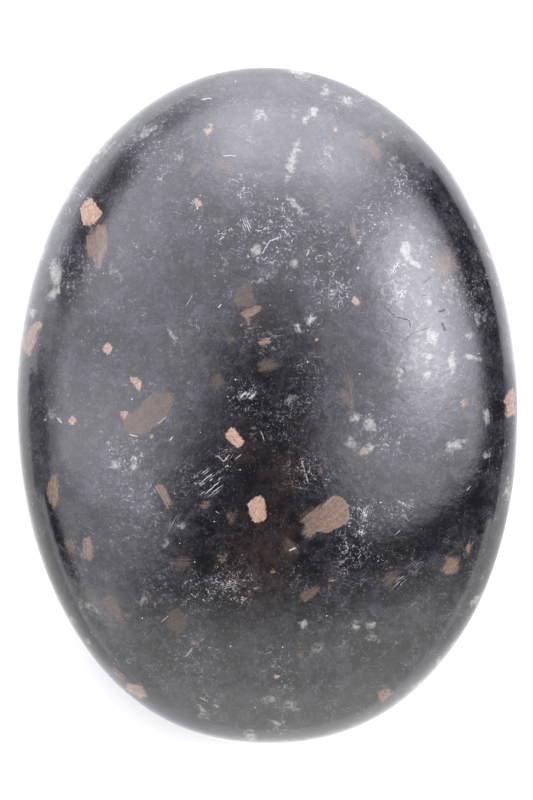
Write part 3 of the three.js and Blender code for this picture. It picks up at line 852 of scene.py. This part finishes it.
# Lit paper on the sheet, which sets how bright the rim is: azimuth as above, reach,
# brightness near and far, and its colour
COOL = (0.985, 1.0, 1.07)
PLAIN = (0.99, 1.0, 1.0)
LIT_PAPER = {
    "back": ((88, 34, 12), 1400, 2.3, 4.7, COOL),
    "back_left": ((136, 30, 14), 1400, 3.1, 3.4, COOL),
    "front_left": ((206, 24, 10), 130, 1.8, 1.2, PLAIN),
    "front": ((286, 25, 10), 200, 2.8, 2.6, PLAIN),
    "front_right": ((330, 16, 8), 130, 1.3, 1.5, PLAIN),
    "right_dim": ((358, 9, 5), 90, 1.8, 0.4, COOL),
    "right": ((26, 19, 7), 70, 3.2, 1.9, COOL),
}
PAPER_RAMP = (-0.5, 0.5)  # from near to far, in powers of ten of the half widths past the outline
PAPER_START = (0.96, 1.08)  # the paper fades in round the outline, which is at 1
PAPER_HEIGHT = 0.3
PAPER_STEP = 0.02  # between one paper and the next above it


def window(tree, azimuth, zenith, turn, start, end):
    """1 for directions inside a window of the tent, with soft edges."""
    middle, half, softness = turn
    off = add(tree, MATH, "WRAP", add(tree, MATH, "SUBTRACT", azimuth, middle), 180, -180)
    off = add(tree, MATH, "ABSOLUTE", off)
    sides = add(tree, RANGE, SMOOTH, off, half - softness, half + softness, 1.0, 0.0)
    above = add(tree, RANGE, SMOOTH, zenith, start[0] - start[1], start[0] + start[1])
    below = add(tree, RANGE, SMOOTH, zenith, end[0] - end[1], end[0] + end[1], 1.0, 0.0)
    return add(tree, MATH, "MULTIPLY", sides, add(tree, MATH, "MULTIPLY", above, below))


def tent_light():
    """The tent as the polish sees it. The camera sees a plain pale backdrop."""
    world = bpy.data.worlds.new("light_tent")
    world.use_nodes = True
    scene.world = world
    tree = world.node_tree
    tree.nodes.clear()
    direction = add(tree, "ShaderNodeTexCoord", {}).outputs["Generated"]
    x, y, z = add(tree, "ShaderNodeSeparateXYZ", {}, direction).outputs
    azimuth = add(tree, MATH, "DEGREES", add(tree, MATH, "ARCTAN2", y, x))
    zenith = add(tree, MATH, "DEGREES", add(tree, MATH, "ARCCOSINE", z))
    height = add(tree, MATH, "MAXIMUM", z, 0.08)
    sheet_x = add(tree, MATH, "DIVIDE", x, height)
    sheet_y = add(tree, MATH, "DIVIDE", y, height)

    behind = add(tree, RANGE, SMOOTH, sheet_y, OPENING_START[0] - OPENING_START[1], sum(OPENING_START))
    light = GLOOM
    for turn, start, end, stops, brightness in TENT.values():
        pane = window(tree, azimuth, zenith, turn, start, end)
        if stops:
            pane = add(tree, MATH, "MULTIPLY", pane, behind)
        light = add(tree, MATH, "MULTIPLY_ADD", pane, brightness, light)
    *gap, taken = GAP
    left_over = add(tree, RANGE, {}, window(tree, azimuth, zenith, *gap), 0.0, 1.0, 1.0, 1 - taken)
    light = add(tree, MATH, "MULTIPLY", light, left_over)

    aside = add(tree, MATH, "SUBTRACT", add(tree, MATH, "ABSOLUTE", sheet_x), OPENING_CORNER)
    turned_away = add(tree, RANGE, {}, sheet_x, -0.1, 0.1, OPENING_TURN["left"], OPENING_TURN["right"])
    retreat = add(tree, MATH, "MULTIPLY", add(tree, MATH, "MAXIMUM", aside, 0.0), turned_away)
    before = add(tree, MATH, "MULTIPLY", add(tree, MATH, "ADD", sheet_y, retreat), -1.0)
    before = add(tree, RANGE, SMOOTH, before, OPENING_END[0] - OPENING_END[1], sum(OPENING_END))
    front = 0.0
    for turn, start, end, brightness in FRONT_PANES.values():
        pane = window(tree, azimuth, zenith, turn, start, end)
        front = add(tree, MATH, "MULTIPLY_ADD", pane, brightness, front)
    front = add(tree, MATH, "MULTIPLY", front, before)

    tinted = add(tree, VECTOR, "SCALE", TENT_COLOUR, light)
    front_tinted = add(tree, VECTOR, "SCALE", FRONT_COLOUR, front)
    sky = add(tree, "ShaderNodeBackground", {}, add(tree, VECTOR, "ADD", tinted, front_tinted), 1.0)
    backdrop = add(tree, "ShaderNodeBackground", {}, (1, 1, 1, 1), BACKDROP)
    seen = add(tree, "ShaderNodeLightPath", {}).outputs["Is Camera Ray"]
    add(tree, "ShaderNodeOutputWorld", {}, add(tree, "ShaderNodeMixShader", {}, seen, sky, backdrop))


def stage_sheet(name, corners):
    """A flat sheet of the studio, which isn't part of the object, and its empty material's nodes."""
    material = bpy.data.materials.new(name)
    material.use_nodes = True
    material.node_tree.nodes.clear()
    mesh = bpy.data.meshes.new(name)
    mesh.from_pydata([tuple(c * MM for c in corner) for corner in corners], [], [tuple(range(len(corners)))])
    mesh.materials.append(material)
    sheet = bpy.data.objects.new(name, mesh)
    scene.collection.objects.link(sheet)
    return sheet, material.node_tree


def only_reflected(sheet):
    """The polish sees the sheet, but the camera, the floor and the shadows don't."""
    sheet.visible_camera = False
    sheet.visible_diffuse = False
    sheet.visible_shadow = False


def floor(half):
    corners = [(-half, -half, 0), (half, -half, 0), (half, half, 0), (-half, half, 0)]
    _, tree = stage_sheet("white_acrylic", corners)
    shader = add(tree, "ShaderNodeBsdfPrincipled", {}, linear("#ebecea"), Roughness=0.4)
    add(tree, "ShaderNodeOutputMaterial", {}, shader)


def standing_card(name, degrees, away, start, end, tall, grey):
    turn = math.radians(degrees)
    out = np.array([math.cos(turn), math.sin(turn), 0.0])
    side = np.array([-math.sin(turn), math.cos(turn), 0.0])
    feet = [out * away + side * start, out * away + side * end]
    top = [foot + (0, 0, tall) for foot in reversed(feet)]
    card, tree = stage_sheet("standing_card_" + name, feet + top)
    shader = add(tree, "ShaderNodeBsdfPrincipled", {}, linear(grey), Roughness=0.9)
    add(tree, "ShaderNodeOutputMaterial", {}, shader)
    only_reflected(card)


def lit_paper(name, height, turn, reach, near, far, colour):
    """A wedge of lit paper that starts at the stone's outline and fades at its sides and its far end."""
    middle, half, softness = turn
    edges = np.radians(np.linspace(middle - half - softness, middle + half + softness, 9))
    rim = [(reach * math.cos(edge), reach * math.sin(edge), height) for edge in edges]
    paper, tree = stage_sheet("lit_paper_" + name, [(0, 0, height)] + rim)
    place = add(tree, "ShaderNodeTexCoord", {}).outputs["Object"]
    x, y, _ = add(tree, "ShaderNodeSeparateXYZ", {}, place).outputs
    azimuth = add(tree, MATH, "DEGREES", add(tree, MATH, "ARCTAN2", y, x))
    in_outlines = add(tree, VECTOR, "MULTIPLY", place, [2 / MM / SIZE[0], 2 / MM / SIZE[1], 0])
    away = add(tree, VECTOR, "LENGTH", in_outlines).outputs["Value"]
    pane = window(tree, azimuth, add(tree, VECTOR, "LENGTH", place), turn, (-2, 1), (reach * MM, 0.02))
    pane = add(tree, MATH, "MULTIPLY", pane, add(tree, RANGE, SMOOTH, away, *PAPER_START))
    outside = add(tree, MATH, "MAXIMUM", add(tree, MATH, "SUBTRACT", away, 1.0), 0.001)
    light = add(tree, RANGE, {}, add(tree, MATH, "LOGARITHM", outside, 10.0), *PAPER_RAMP, near, far)
    shader = add(tree, "ShaderNodeEmission", {}, (*colour, 1), light)
    clear = add(tree, "ShaderNodeBsdfTransparent", {})
    add(tree, "ShaderNodeOutputMaterial", {}, add(tree, "ShaderNodeMixShader", {}, pane, clear, shader))
    only_reflected(paper)


def studio():
    """The floor, the cards and the papers. The tent's own light is the world's."""
    floor(1500)
    for name, card in STANDING_CARDS.items():
        standing_card(name, *card)
    for layer, (name, paper) in enumerate(LIT_PAPER.items()):
        lit_paper(name, PAPER_HEIGHT + PAPER_STEP * layer, *paper)


def camera():
    """Straight above the stone, with its slim end at the top of the picture."""
    lens = bpy.data.cameras.new("camera")
    lens.lens = LENS
    lens.sensor_width = SENSOR
    eye = bpy.data.objects.new("camera", lens)
    scene.collection.objects.link(eye)
    eye.location = (FRAME_MIDDLE[0] * MM, FRAME_MIDDLE[1] * MM, (SIZE[2] / 2 + EYE_DISTANCE) * MM)
    scene.camera = eye


camera()
studio()
tent_light()
scene.view_settings.view_transform = "Standard"

stone = polished_stone(polished_rock())
mark_rock(stone)
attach(stone, "root")
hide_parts("palm_stone")
